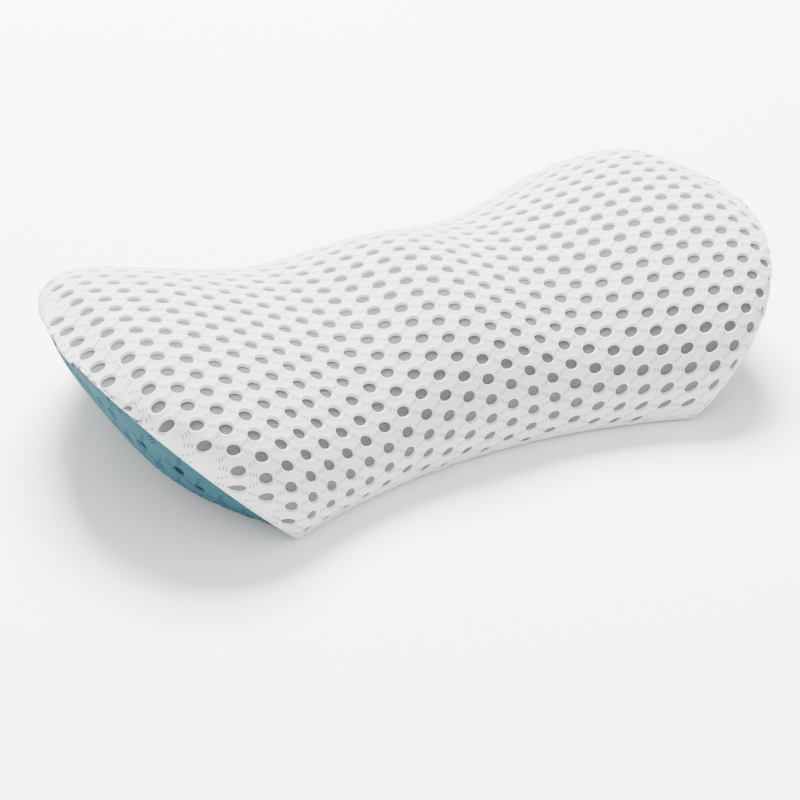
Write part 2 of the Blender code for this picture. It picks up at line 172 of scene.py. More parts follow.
# Slits, in shares of a column or row.
SLIT_REACH, SLITS_PER_COLUMN, SLIT_WIDTH, SLIT_LENGTH = 0.17, 9.0, 0.2, 0.10
KNIT_RELIEF = 0.12 * MM

# Panels: how they clear the folds and sides, and how an end panel swells.
FOLD_CLEARANCE, SIDE_CLEARANCE, PANEL_LIFT = 0.9 * MM, 0.5 * MM, 0.4 * MM
END_CLEARANCE, END_SIDE_CLEARANCE = 1.0 * MM, 0.6 * MM
SWELL_SKEW, SWELL_SIDES = 0.8, 4
FLOOR_GAP = 0.15 * MM

# Threads: stitch, gap and radius.
SEAM_STITCH, SEAM_GAP, SEAM_THREAD = 2.6 * MM, 1.2 * MM, 0.35 * MM
FOLD_STITCH, FOLD_GAP, FOLD_THREAD = 2.4 * MM, 1.9 * MM, 0.4 * MM
SEAM_LIFT = 0.8 * MM

# Zip coil.
COIL_END, COIL_PITCH, COIL_DEPTH, COIL_THREAD = 3.2 * MM, 1.3 * MM, 1.35 * MM, 0.42 * MM
TOOTH_FROM, TOOTH_TO = 0.15 * MM, 1.35 * MM

# Filling: how far inside the cover each form lies, and its height over the back.
FOAM_INSET, FOAM_FLOOR = 7.8 * MM, 4.6 * MM
LINER_INSET, LINER_FLOOR = 5.4 * MM, 3.6 * MM

# Lights, in metres.
KEY_PLACE, KEY_SIZE = Vector((0.25, 0.9, 1.5)), 0.8
FILL_PLACE, FILL_SIZE = Vector((-1.4, -0.9, 0.9)), 1.2


def smoothstep(t):
    t = np.clip(t, 0.0, 1.0)
    return t * t * (3 - 2 * t)


def running_length(line):
    """Distance from the start of a line to each of its points."""
    return np.r_[0, np.cumsum(np.linalg.norm(np.diff(line, axis=0), axis=1))]


def loft_columns(s, inset, count):
    """Places along the length, closer together towards the tips."""
    tip = HALF - inset / math.tan(s.end_slope / 2)
    return tip * TIP_SHARE * np.sin(np.linspace(-TIP_TURN, TIP_TURN, count)) / math.sin(TIP_TURN)


def waist_radius(s):
    """Radius of the arc that hollows the long sides."""
    spread = s.corner_half - s.waist_half
    return s.fold_x ** 2 / (2 * spread) + spread / 2


def waist_half_width(s, x):
    """Half width of the back at x."""
    radius = waist_radius(s)
    reach = np.minimum(np.abs(x), s.fold_x)
    return s.waist_half + radius - np.sqrt(radius ** 2 - reach ** 2)


def end_share(s, x, inset, floor):
    """How far x lies from the fold line, 0, to the tip, 1."""
    fold = s.fold_x + (floor - inset / math.cos(s.end_slope)) / math.tan(s.end_slope)
    tip = HALF - inset / math.tan(s.end_slope / 2)
    return np.clip((np.abs(x) - fold) / (tip - fold), 0.0, 1.0)


def crown_height(s, x, inset):
    """Height of the crown line at x."""
    rise = smoothstep(np.abs(x) / WING_X)
    hump = s.hump_height * np.exp(-(x / HUMP_REACH) ** 2)
    drop = s.wing_height - (HALF - s.fold_x) * math.tan(s.end_slope)
    drop = drop * smoothstep((np.abs(x) - WING_X) / (HALF - WING_X))
    return s.waist_height + (s.wing_height - s.waist_height) * rise + hump - drop - inset


def section(s, x, v, inset=0.0, floor=0.0):
    """Points of the front surface at x, for v from 0 at the -Y edge to 1 at the +Y edge."""
    side = np.where(v < 0.5, -1.0, 1.0)
    share = 1 - np.abs(2 * v - 1)
    ends = np.sqrt(1 - end_share(s, x, inset, floor) ** 2)
    edge = (waist_half_width(s, x) - inset) * ends
    bulge = s.side_bulge * ends
    low = np.maximum((np.abs(x) - s.fold_x) * math.tan(s.end_slope) + inset / math.cos(s.end_slope), floor)
    high = crown_height(s, x, inset)
    widest = low + WIDEST_SHARE * (high - low)
    climb = np.clip(share / WALL_SHARE, 0, 1)
    turn = np.clip((share - WALL_SHARE) / (1 - WALL_SHARE), 0, 1) * math.pi / 2
    blend = smoothstep(np.abs(x) / SHOULDER_BLEND_X)
    power = 2 / (SHOULDER_MIDDLE + (SHOULDER_WING - SHOULDER_MIDDLE) * blend)
    wall = share < WALL_SHARE
    y = np.where(wall, edge + bulge * (1 - (1 - climb) ** 2), (edge + bulge) * np.abs(np.cos(turn)) ** power)
    z = np.where(wall, low + (widest - low) * climb, widest + (high - widest) * np.sin(turn) ** power)
    return np.stack([x + 0 * y, side * y, z], -1)


class FrontSurface:
    """The front surface, read by place along the length and cloth length from the crown."""

    COLUMNS, ROWS = 301, 241

    def __init__(self, s, inset=0.0, floor=0.0, wave=0.0):
        self.xs = loft_columns(s, inset, self.COLUMNS)
        fine = np.linspace(0, 1, 4 * self.ROWS)
        even = np.linspace(0, 1, self.ROWS)
        points, halves = [], []
        for x in self.xs:
            line = section(s, np.full_like(fine, x), fine, inset, floor)
            run = running_length(line)
            halves.append(run[-1] / 2)
            run = run / run[-1]
            points.append(np.stack([np.interp(even, run, line[:, k]) for k in range(3)], -1))
        self.points, self.halves = np.array(points), np.array(halves)
        self.normals = self.make_normals()
        if wave:
            self.points = self.points + self.normals * (wave * self.waves())[..., None]
            self.normals = self.make_normals()

    def make_normals(self):
        along = np.gradient(self.points, axis=0)
        across = np.gradient(self.points, axis=1)
        normal = np.cross(along, across)
        return normal / np.maximum(np.linalg.norm(normal, axis=-1, keepdims=True), 1e-12)

    def waves(self):
        """Slow unevenness of stuffed cloth, from 1 to -1, that dies out at the edges."""
        x = self.xs[:, None] / MM
        a = self.halves[:, None] * np.linspace(-1, 1, self.ROWS)[None] / MM
        waves = (np.sin(x / 19 + 1.3 * np.sin(a / 31)) * np.sin(a / 23 + 0.8)
                 + 0.6 * np.sin(x / 11 - a / 17 + 2.1) + 0.4 * np.sin(x / 43 + a / 13))
        edge = 1 - np.abs(np.linspace(-1, 1, self.ROWS))[None]
        return waves / 2 * smoothstep(edge * 6)

    def half_length(self, x):
        """Cloth length from the crown to the edge at x."""
        return np.interp(x, self.xs, self.halves)

    def place(self, x, a, depth):
        """Points at x, cloth length a from the crown and depth under the face."""
        i = np.clip(np.interp(x, self.xs, np.arange(self.COLUMNS)), 0, self.COLUMNS - 1.001)
        share = np.clip(a / np.maximum(self.half_length(x), 1e-6), -1, 1)
        j = np.clip((share + 1) / 2 * (self.ROWS - 1), 0, self.ROWS - 1.001)
        i0, j0 = i.astype(int), j.astype(int)
        fi, fj = (i - i0)[:, None], (j - j0)[:, None]

        def read(grid):
            return ((grid[i0, j0] * (1 - fj) + grid[i0, j0 + 1] * fj) * (1 - fi)
                    + (grid[i0 + 1, j0] * (1 - fj) + grid[i0 + 1, j0 + 1] * fj) * fi)

        normal = read(self.normals)
        normal = normal / np.maximum(np.linalg.norm(normal, axis=1, keepdims=True), 1e-9)
        return read(self.points) - normal * depth[:, None]


# ---------------------------------------------------------------- mesh cloth

class Cloth:
    """A piece of cloth: its place function and its outline in cloth lengths."""

    def __init__(self, place, span, low, high):
        self.place, self.span, self.low, self.high = place, span, low, high

    def room(self, u, v):
        """Distance inside the outline, negative outside."""
        return np.minimum(np.minimum(v - self.low(u), self.high(u) - v),
                          np.minimum(u - self.span[0], self.span[1] - u))

    def clamp(self, u, v):
        u = np.clip(u, *self.span)
        return u, np.clip(v, self.low(u), self.high(u))


def new_mesh_object(name, points, faces, body=ROOT_BODY, smooth=True):
    mesh = bpy.data.meshes.new(name)
    mesh.from_pydata([tuple(p) for p in points], [], faces)
    mesh.validate()
    if smooth:
        mesh.shade_smooth()
    obj = bpy.data.objects.new(name, mesh)
    bpy.context.scene.collection.objects.link(obj)
    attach(obj, body)
    return obj


def cell_outline():
    """Outline of one cell, from -0.5 to 0.5, with points where its neighbours' corners fall."""
    low = [(-0.5 + i / 6, -0.5) for i in range(6)]
    right = [(0.5, -0.5 + i / 4) for i in range(4)]
    return np.array(low + right + [(-x, -y) for x, y in low] + [(-x, -y) for x, y in right])


def hole_rings(m, circle):
    """Rings of one hole, from the flat cloth over the lip and down its wall."""
    rings = [(RISE_GROW, -RISE_HEIGHT), (LIP_GROW, -m.lip), (THROAT_GROW, THROAT_DEPTH),
             (FOOT_GROW, m.backing)]
    return [(circle * (m.hole_length / 2 + grow, m.hole_width / 2 + grow * GROW_ACROSS), depth)
            for grow, depth in rings]


def lay_cells(cloth, m):
    """Staggered cells over the cloth: cloth coordinates, depths, faces and which faces are hole walls."""
    c, r = m.column_pitch, m.row_pitch
    outline = cell_outline() * (c, r)
    count = len(outline)
    angle = np.arctan2(outline[:, 1] / (m.hole_width / 2), outline[:, 0] / (m.hole_length / 2))
    ovals = hole_rings(m, np.stack([np.cos(angle), np.sin(angle)], -1))
    us, vs, ds, faces, walls = [], [], [], [], []
    start = 0
    first = math.floor((cloth.span[0] - m.phase_along) / c) - 1
    last = math.ceil((cloth.span[1] - m.phase_along) / c) + 1
    for column in range(first, last + 1):
        u0 = column * c + m.phase_along
        near = np.clip(u0, *cloth.span)
        probe = np.clip(near + np.linspace(-c / 2, c / 2, 5), *cloth.span)
        low = math.floor((np.min(cloth.low(probe)) - m.phase_across) / r) - 1
        high = math.ceil((np.max(cloth.high(probe)) - m.phase_across) / r) + 1
        for row in range(low, high + 1):
            v0 = (row + 0.5 * (column % 2)) * r + m.phase_across
            border = outline + (u0, v0)
            if (cloth.room(border[:, 0], border[:, 1]) <= 0).all():
                continue
            rise = ovals[0][0] + (u0, v0)
            holed = (cloth.room(rise[:, 0], rise[:, 1]) > HOLE_MARGIN).all()
            layers = [(border, 0.0)] + [(oval + (u0, v0), d) for oval, d in ovals]
            if not holed:
                layers = [(border, 0.0), (rise, 0.0)]
            for points, depth in layers:
                us.append(points[:, 0]), vs.append(points[:, 1]), ds.append(np.full(count, depth))
            for k in range(len(layers) - 1):
                for i in range(count):
                    j = (i + 1) % count
                    faces.append((start + k * count + i, start + k * count + j,
                                  start + (k + 1) * count + j, start + (k + 1) * count + i))
                    walls.append(k == WALL_BAND)
            start += len(layers) * count
            if not holed:
                us.append(np.array([u0])), vs.append(np.array([v0])), ds.append(np.array([0.0]))
                for i in range(count):
                    faces.append((start - count + i, start - count + (i + 1) % count, start))
                    walls.append(False)
                start += 1
    return np.concatenate(us), np.concatenate(vs), np.concatenate(ds), faces, walls


def merge_points(u, v, d, faces, walls):
    """Joins points that meet, and drops the faces that vanish with them."""
    keys = np.round(np.stack([u, v, d], -1) / MERGE_STEP).astype(np.int64)
    _, keep, where = np.unique(keys, axis=0, return_index=True, return_inverse=True)
    where = where.ravel()
    clean, clean_walls, seen = [], [], set()
    for face, wall in zip(faces, walls):
        ring = []
        for index in (int(where[i]) for i in face):
            if index not in ring:
                ring.append(index)
        if len(ring) > 2 and frozenset(ring) not in seen:
            seen.add(frozenset(ring))
            clean.append(tuple(ring))
            clean_walls.append(wall)
    return u[keep], v[keep], d[keep], clean, clean_walls


def turn_in_edges(cloth, u, v, d, faces, walls, edge_depth, backing):
    """Adds a border that turns in along the outline, and tucks the cloth down towards it."""
    uses = {}
    for face in faces:
        for p, q in zip(face, face[1:] + face[:1]):
            uses.setdefault((min(p, q), max(p, q)), []).append((p, q))
    room = cloth.room(u, v)
    rims = [pairs[0] for pairs in uses.values()
            if len(pairs) == 1 and max(room[pairs[0][0]], room[pairs[0][1]]) < EDGE_ROOM]
    turned = {}
    extra = [[], [], []]
    for index in (end for rim in rims for end in rim):
        if index not in turned:
            turned[index] = len(u) + len(turned)
            width = float(cloth.high(u[index]) - cloth.low(u[index]))
            extra[0].append(u[index]), extra[1].append(v[index])
            extra[2].append(edge_depth * min(max(width / NARROW_CLOTH, THINNEST_EDGE), 1.0))
    for p, q in rims:
        faces.append((q, p, turned[p], turned[q]))
        walls.append(False)
    tuck = TUCK_DEPTH * np.exp(-(np.maximum(room, 0) / TUCK_REACH) ** 2)
    d = np.where(d < backing * 0.5, d + tuck, d)
    return np.r_[u, extra[0]], np.r_[v, extra[1]], np.r_[d, extra[2]]


def paint_weave(mesh, coordinates):
    """Stores cloth coordinates as the UV map that the knit finishes read."""
    layer = mesh.uv_layers.new(name="weave")
    loops = np.empty(len(mesh.loops), np.int32)
    mesh.loops.foreach_get("vertex_index", loops)
    layer.data.foreach_set("uv", coordinates[loops].astype(np.float32).ravel())


def mesh_cloth(name, cloth, m, edge_depth=CLOTH):
    """Holed face of the cloth, with its edge turned in. Returns the object."""
    u, v, d, faces, walls = lay_cells(cloth, m)
    u, v = cloth.clamp(u, v)
    u, v, d, faces, walls = merge_points(u, v, d, faces, walls)
    u, v, d = turn_in_edges(cloth, u, v, d, faces, walls, edge_depth, m.backing)
    obj = new_mesh_object(name, cloth.place(u, v, d), faces)
    if len(obj.data.polygons) != len(faces):
        raise RuntimeError(name + ": the cloth has broken faces")
    obj.data.polygons.foreach_set("material_index", np.array(walls, np.int32))
    paint_weave(obj.data, np.stack([(u - m.phase_along) / m.column_pitch,
                                    (v - m.phase_across) / m.row_pitch], -1))
    return obj


def backing_cloth(name, cloth, depth, across=70, along=150):
    """Plain closed layer behind the holes."""
    turn = math.pi / 2 * 0.98
    spread = np.sin(np.linspace(-turn, turn, along)) / math.sin(turn)
    u = (cloth.span[0] + cloth.span[1]) / 2 + spread * (cloth.span[1] - cloth.span[0]) / 2 * 0.999
    share = np.linspace(0, 1, across)
    grid_u = np.repeat(u, across)
    low, high = cloth.low(u), cloth.high(u)
    inset = np.minimum(0.3 * MM, (high - low) * 0.2)
    low, high = low + inset, high - inset
    grid_v = (low[:, None] + (high - low)[:, None] * share[None]).ravel()
    points = cloth.place(grid_u, grid_v, np.full(len(grid_u), depth))
    faces = [(i * across + j, (i + 1) * across + j, (i + 1) * across + j + 1, i * across + j + 1)
             for i in range(along - 1) for j in range(across - 1)]
    obj = new_mesh_object(name, points, faces)
    paint_weave(obj.data, np.stack([grid_u, grid_v], -1) / KNIT_UNIT)
    return obj


# ---------------------------------------------------------------- small pieces

def capsule_set(name, places, radius, flat=1.0, body=ROOT_BODY):
    """Many short rounded threads in one mesh: each place is (start, end, outward)."""
    sides, rings = 8, (-0.96, -0.7, 0.0, 0.7, 0.96)
    points, faces = [], []
    for start, end, outward in places:
        axis = (end - start) / 2
        middle = (start + end) / 2
        out = outward / np.linalg.norm(outward)
        cross = np.cross(axis / np.linalg.norm(axis), out)
        base = len(points)
        for t in rings:
            size = radius * math.sqrt(max(1 - t ** 4, 0.05))
            arch = out * radius * 0.5 * (1 - t * t)
            for k in range(sides):
                turn = 2 * math.pi * k / sides
                points.append(middle + axis * t + arch + size * (cross * math.cos(turn)
                                                                 + out * math.sin(turn) * flat))
        for i in range(len(rings) - 1):
            for k in range(sides):
                n = (k + 1) % sides
                faces.append((base + i * sides + k, base + i * sides + n,
                              base + (i + 1) * sides + n, base + (i + 1) * sides + k))
        faces.append(tuple(base + k for k in reversed(range(sides))))
        faces.append(tuple(base + (len(rings) - 1) * sides + k for k in range(sides)))
    return new_mesh_object(name, points, faces, body)


def stitches_along(line, outward, length, gap):
    """Even stitches along a line of points."""
    line, outward = np.asarray(line), np.asarray(outward)
    run = running_length(line)
    count = int(run[-1] / (length + gap))
    places = []
    for i in range(count):
        ends = [(i + 0.5) * run[-1] / count + sign * length / 2 for sign in (-1, 1)]
        at = [np.array([np.interp(e, run, line[:, k]) for k in range(3)]) for e in ends]
        facing = np.array([np.interp(ends[0], run, outward[:, k]) for k in range(3)])
        places.append((at[0], at[1], facing))
    return places


# ---------------------------------------------------------------- finishes

class Finish:
    """Node material with short ways to add maths, noise and bump."""

    def __init__(self, name, roughness, metallic=0.0, sheen=0.0, specular=0.3):
        self.mat = bpy.data.materials.new(name)
        self.mat.use_nodes = True
        self.tree = self.mat.node_tree
        self.shader = self.tree.nodes["Principled BSDF"]
        values = {"Roughness": roughness, "Metallic": metallic, "Sheen Weight": sheen,
                  "Sheen Roughness": 0.5, "Specular IOR Level": specular}
        for socket, value in values.items():
            self.shader.inputs[socket].default_value = value

    def node(self, kind, **values):
        node = self.tree.nodes.new(kind)
        for key, value in values.items():
            setattr(node, key, value)
        return node

    def feed(self, socket, value):
        if isinstance(value, bpy.types.NodeSocket):
            self.tree.links.new(value, socket)
        else:
            socket.default_value = value

    def maths(self, operation, *values):
        node = self.node("ShaderNodeMath", operation=operation)
        for socket, value in zip(node.inputs, values):
            self.feed(socket, value)
        return node.outputs[0]

    def noise(self, scale, detail=3.0, vector=None):
        node = self.node("ShaderNodeTexNoise")
        node.inputs["Scale"].default_value = scale
        node.inputs["Detail"].default_value = detail
        self.feed(node.inputs["Vector"], vector or self.node("ShaderNodeTexCoord").outputs["Object"])
        return node.outputs["Fac"]

    def mix(self, share, first, second):
        node = self.node("ShaderNodeMix", data_type="RGBA")
        self.feed(node.inputs["Factor"], share)
        for socket, value in zip((node.inputs[6], node.inputs[7]), (first, second)):
            self.feed(socket, (*value, 1.0) if isinstance(value, (tuple, list)) else value)
        return node.outputs[2]

    def weave(self):
        """Cloth coordinates, counted in hole columns and rows."""
        split = self.node("ShaderNodeSeparateXYZ")
        uv = self.node("ShaderNodeUVMap", uv_map="weave")
        self.tree.links.new(uv.outputs[0], split.inputs[0])
        return split.outputs[0], split.outputs[1]

    def bump(self, height, distance, strength=1.0):
        node = self.node("ShaderNodeBump")
        node.inputs["Distance"].default_value = distance
        node.inputs["Strength"].default_value = strength
        self.feed(node.inputs["Height"], height)
        self.tree.links.new(node.outputs[0], self.shader.inputs["Normal"])

    def colour(self, value):
        self.feed(self.shader.inputs["Base Color"], value)


def shade(colour, factor):
    return tuple(min(1.0, c * factor) for c in colour)


def slits(f, u, v):
    """Rows of small slits on the lines that join neighbouring holes of two columns."""
    t = f.maths("FRACT", u)
    off_middle = f.maths("ABSOLUTE", f.maths("SUBTRACT", t, 0.5))
    inside = f.maths("LESS_THAN", off_middle, SLIT_REACH)
    count = f.maths("FRACT", f.maths("MULTIPLY", t, SLITS_PER_COLUMN))
    beat = f.maths("ABSOLUTE", f.maths("SUBTRACT", count, 0.5))
    dash = f.maths("LESS_THAN", beat, SLIT_WIDTH)
    half = f.maths("MULTIPLY", u, 0.5)
    masks = []
    for sign in ("SUBTRACT", "ADD"):
        line = f.maths(sign, v, half)
        away = f.maths("ABSOLUTE", f.maths("SUBTRACT", line, f.maths("ROUND", line)))
        masks.append(f.maths("LESS_THAN", away, SLIT_LENGTH))
    lines = f.maths("MAXIMUM", *masks)
    return f.maths("MULTIPLY", f.maths("MULTIPLY", inside, dash), lines)


def knit_face(name, colour, loops_along=15.0, loops_across=11.0):
    """Warp-knit face: fine loops in wales, small slits between holes."""
    f = Finish(name, 0.9, specular=0.12)
    u, v = f.weave()
    gaps = slits(f, u, v)
    zig = f.maths("MULTIPLY", f.maths("SINE", f.maths("MULTIPLY", v, loops_across * 2 * math.pi)), 0.22)
    wale = f.maths("SINE", f.maths("MULTIPLY", f.maths("ADD", f.maths("MULTIPLY", u, loops_along), zig),
                                   2 * math.pi))
    course = f.maths("SINE", f.maths("MULTIPLY", v, loops_across * 2 * math.pi))
    knit = f.maths("ADD", f.maths("MULTIPLY", wale, 0.5), f.maths("MULTIPLY", course, 0.3))
    height = f.maths("SUBTRACT", knit, f.maths("MULTIPLY", gaps, 5.0))
    fuzz = f.noise(2500.0, 2.0)
    height = f.maths("ADD", height, f.maths("MULTIPLY", fuzz, 0.8))
    f.bump(height, KNIT_RELIEF, 0.8)
    tone = f.maths("ADD", f.maths("MULTIPLY", f.noise(35.0), 0.5), f.maths("MULTIPLY", fuzz, 0.5))
    body = f.mix(tone, shade(colour, 0.93), shade(colour, 1.04))
    # The slits are painted at 0.3 of the cloth colour: painted shade in the small openings.
    f.colour(f.mix(f.maths("MULTIPLY", gaps, 0.9), body, shade(colour, 0.3)))
    return f.mat


def knit_backing(name, colour):
    """Fine plain knit behind the holes."""
    f = Finish(name, 0.92, specular=0.1)
    u, v = f.weave()
    waves = [f.maths("SINE", f.maths("MULTIPLY", t, 2 * math.pi * n)) for t, n in ((u, 12.0), (v, 9.0))]
    height = f.maths("ADD", *waves)
    f.bump(height, KNIT_RELIEF, 0.8)
    tone = f.maths("ADD", f.maths("MULTIPLY", height, 0.2), f.noise(900.0))
    f.colour(f.mix(tone, shade(colour, 0.72), shade(colour, 1.25)))
    return f.mat


def thread_finish(name, colour):
    f = Finish(name, 0.6, sheen=0.3, specular=0.3)
    grain = f.noise(3500.0, 2.0)
    f.bump(grain, 0.08 * MM)
    f.colour(f.mix(grain, shade(colour, 0.85), shade(colour, 1.08)))
    return f.mat


def tape_finish(name, colour):
    f = Finish(name, 0.85, sheen=0.2, specular=0.2)
    wave = f.node("ShaderNodeTexWave", bands_direction="X")
    wave.inputs["Scale"].default_value = 700.0
    wave.inputs["Distortion"].default_value = 0.6
    f.feed(wave.inputs["Vector"], f.node("ShaderNodeTexCoord").outputs["Object"])
    height = f.maths("ADD", wave.outputs["Fac"], f.noise(2200.0, 2.0))
    f.bump(height, 0.06 * MM)
    f.colour(f.mix(height, shade(colour, 0.86), shade(colour, 1.02)))
    return f.mat


def foam_finish(name, colour):
    f = Finish(name, 0.95, specular=0.15)
    cells = f.node("ShaderNodeTexVoronoi")
    cells.inputs["Scale"].default_value = 900.0
    f.feed(cells.inputs["Vector"], f.node("ShaderNodeTexCoord").outputs["Object"])
    f.bump(cells.outputs["Distance"], 0.2 * MM)
    f.colour(f.mix(f.noise(60.0), shade(colour, 0.9), shade(colour, 1.05)))
    return f.mat


def metal_finish(name, colour):
    f = Finish(name, 0.24, metallic=1.0, specular=0.5)
    scuff = f.noise(1400.0, 4.0)
    f.bump(scuff, 0.01 * MM, 0.5)
    f.feed(f.shader.inputs["Roughness"], f.maths("ADD", f.maths("MULTIPLY", scuff, 0.2), 0.14))
    f.colour(f.mix(f.noise(300.0), shade(colour, 0.9), shade(colour, 1.08)))
    return f.mat


def give(obj, *materials):
    obj.data.materials.clear()
    for mat in materials:
        obj.data.materials.append(mat)
    return obj


# ---------------------------------------------------------------- cloth outlines

def front_cloth(s):
    """Front panel over the crown and both long sides, with a slot for the zip."""
    surface = FrontSurface(s, wave=s.unevenness)
    edge, ease = 0.3 * MM, 3 * MM

    def window(x):
        """1 over the zip, 0 beyond its ends."""
        return smoothstep((x - ZIP_FROM_X) / ease) * smoothstep((ZIP_TO_X - x) / ease)

    def low(x):
        return -(surface.half_length(x) - edge)

    def high(x):
        return surface.half_length(x) - edge - SLOT_HEIGHT * window(x)

    return Cloth(surface.place, (surface.xs[0], surface.xs[-1]), low, high)


def back_cloth(s):
    """Flat back panel between the fold lines."""
    reach = s.fold_x - FOLD_CLEARANCE

    def half(x):
        return waist_half_width(s, x) - CLOTH - SIDE_CLEARANCE

    def place(u, v, depth):
        return np.stack([u, -v, PANEL_LIFT + np.maximum(depth, -0.3 * MM)], -1)

    return Cloth(place, (-reach, reach), lambda x: -half(x), half)


def end_cloth(s, side):
    """Half-moon end panel, from its fold line up to the rim."""
    reach = (HALF - s.fold_x) / math.cos(s.end_slope)
    inset = CLOTH + END_CLEARANCE
    cos, sin = math.cos(s.end_slope), math.sin(s.end_slope)

    def half(up):
        share = np.clip(up / (reach - inset), 0, 1)
        return np.maximum((s.corner_half - CLOTH - END_SIDE_CLEARANCE) * np.sqrt(1 - share ** 2), 0.2 * MM)

    def place(u, v, depth):
        """The stuffed panel bulges outward between its fold line and its rim."""
        across = np.clip(np.abs(v) / np.maximum(half(u), 1e-6), 0, 1)
        along = np.clip(u / (reach - inset), 0, 1)
        swelling = s.end_bulge * np.sin(math.pi * along ** SWELL_SKEW) * (1 - across ** SWELL_SIDES)
        d = depth + PANEL_LIFT - swelling
        x = s.fold_x + u * cos - d * sin
        resting = FLOOR_GAP + 0.2 * np.maximum(depth, 0)
        return np.stack([side * x, -side * v, np.maximum(u * sin + d * cos, resting)], -1)

    return Cloth(place, (FOLD_CLEARANCE, reach - inset), lambda u: -half(u), half)


# ---------------------------------------------------------------- operators

class CUSHION_OT_front(bpy.types.Operator):
    """Front panel of white spacer mesh, over its grey backing knit, which is darkened with painted shade"""
    bl_idname = "cushion.front"
    bl_label = "Front panel"

    def execute(self, context):
        s, m, colours = context.scene.cushion_shape, context.scene.cushion_mesh, context.scene.cushion_colours
        cloth = front_cloth(s)
        face = mesh_cloth("front_mesh", cloth, m, 2.6 * MM)
        # Hole walls take the white at half strength: painted shade inside the holes.
        give(face, knit_face("White spacer mesh", tuple(colours.white)),
             knit_backing("White hole wall, painted shade", shade(colours.white, 0.5)))
        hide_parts("front_panel")
        backing = backing_cloth("front_backing", cloth, m.backing + BACKING_GAP)
        # The backing's colour is partly the knit's own grey, partly painted shade in the holes.
        give(backing, knit_backing("Grey backing knit and painted shade", tuple(colours.front_backing_and_painted_shade)))
        return {"FINISHED"}


class CUSHION_OT_back(bpy.types.Operator):
    """Teal back panel and half-moon end panels, each over its backing knit"""
    bl_idname = "cushion.back"
    bl_label = "Back and end panels"

    def execute(self, context):
        s, m, colours = context.scene.cushion_shape, context.scene.cushion_mesh, context.scene.cushion_colours
        face_finish = knit_face("Teal spacer mesh", tuple(colours.teal))
        # Hole walls take the teal at 0.45: painted shade inside the holes.
        painted_shade_wall_finish = knit_backing("Teal hole wall, painted shade", shade(colours.teal, 0.45))
        # The backing's colour is partly its own teal knit, partly painted shade in the holes.
        backing_and_shade_finish = knit_backing("Teal backing knit and painted shade", tuple(colours.teal_backing_and_painted_shade))
        panels = (("back", back_cloth(s), "back_panel"),
                  ("end_left", end_cloth(s, -1), "end_panel_left"),
                  ("end_right", end_cloth(s, 1), "end_panel_right"))
        for name, cloth, node in panels:
            face = mesh_cloth(name + "_mesh", cloth, m)
            give(face, face_finish, painted_shade_wall_finish)
            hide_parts(node)
            backing = backing_cloth(name + "_backing", cloth, m.backing + BACKING_GAP, 40, 60)
            give(backing, backing_and_shade_finish)
        return {"FINISHED"}


class CUSHION_OT_seams(bpy.types.Operator):
    """Stitches of the rims, fold lines and long sides"""
    bl_idname = "cushion.seams"
    bl_label = "Seams"

    def execute(self, context):
        s, colours = context.scene.cushion_shape, context.scene.cushion_colours
        teal = thread_finish("Teal thread", shade(colours.teal, 0.6))
        white = thread_finish("White thread", tuple(colours.white))
        cos, sin = math.cos(s.end_slope), math.sin(s.end_slope)
        reach = (HALF - s.fold_x) / cos
        for name, side in (("left", -1), ("right", 1)):
            line, out = [], []
            for turn in np.linspace(math.radians(5), math.radians(175), 120):
                up, y = (reach - 3.4 * MM) * math.sin(turn), -(s.corner_half - 3.3 * MM) * math.cos(turn)
                x = s.fold_x + up * cos - 0.6 * MM * sin
                line.append((side * x, y, up * sin + 0.6 * MM * cos))
                out.append((side * sin, 0, -cos))
            rim = capsule_set("rim_stitches_" + name, stitches_along(line, out, SEAM_STITCH, SEAM_GAP),
                              SEAM_THREAD)
            give(rim, teal)
            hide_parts("rim_seam_" + name)
            width = s.corner_half - 5 * MM
            line = [(side * s.fold_x, y, SEAM_LIFT) for y in np.linspace(-width, width, 60)]
            out = [(side * math.sin(s.end_slope / 2), 0, -math.cos(s.end_slope / 2))] * 60
            fold = capsule_set("fold_stitches_" + name, stitches_along(line, out, FOLD_STITCH, FOLD_GAP),
                               FOLD_THREAD)
            give(fold, white)
            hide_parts("fold_seam_" + name)
        xs = np.linspace(-s.fold_x + 3 * MM, s.fold_x - 3 * MM, 120)
        for name, side, node in (("near", -1, "side_seam_near"), ("zip", 1, "side_seam_zip")):
            line = [(x, side * (waist_half_width(s, x) - 3.2 * MM), SEAM_LIFT) for x in xs]
            places = stitches_along(line, [(0, 0, -1)] * len(xs), SEAM_STITCH, SEAM_GAP)
            seam = capsule_set("side_stitches_" + name, places, SEAM_THREAD)
            give(seam, teal)
            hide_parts(node)
        return {"FINISHED"}


